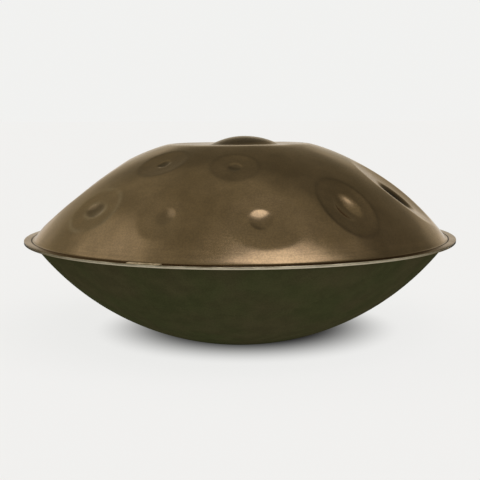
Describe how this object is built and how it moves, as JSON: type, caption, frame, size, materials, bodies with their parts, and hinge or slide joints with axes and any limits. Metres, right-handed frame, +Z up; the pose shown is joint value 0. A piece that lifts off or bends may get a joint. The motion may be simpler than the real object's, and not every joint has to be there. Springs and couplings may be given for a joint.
{
  "type": "handpan",
  "caption": "Lens-shaped steel handpan: upper shell with a domed centre note and dimpled ring notes, lower shell with a round sound port, joined at a glued rim.",
  "frame": {"origin": "on the ground under the centre of the sound port, where the port's lip rests", "axes": "+Z up through the centre of both shells; -Y towards the two small shoulder notes and the label; +X to the right seen from there"},
  "size_m": [0.53, 0.53, 0.2518],
  "materials": {
    "ding_steel": "heat-tempered nitrided steel, satin, dark bronze",
    "gu_steel": "heat-tempered nitrided steel, satin, dark olive with a mottled patina",
    "glue": "set epoxy adhesive, dark, matte",
    "label": "plain tan film, satin, no lettering"
  },
  "bodies": {
    "root": {"ding_shell": "ding_steel", "gu_shell": "gu_steel", "seam_glue": "glue", "rim_label": "label"}
  },
  "joints": []
}
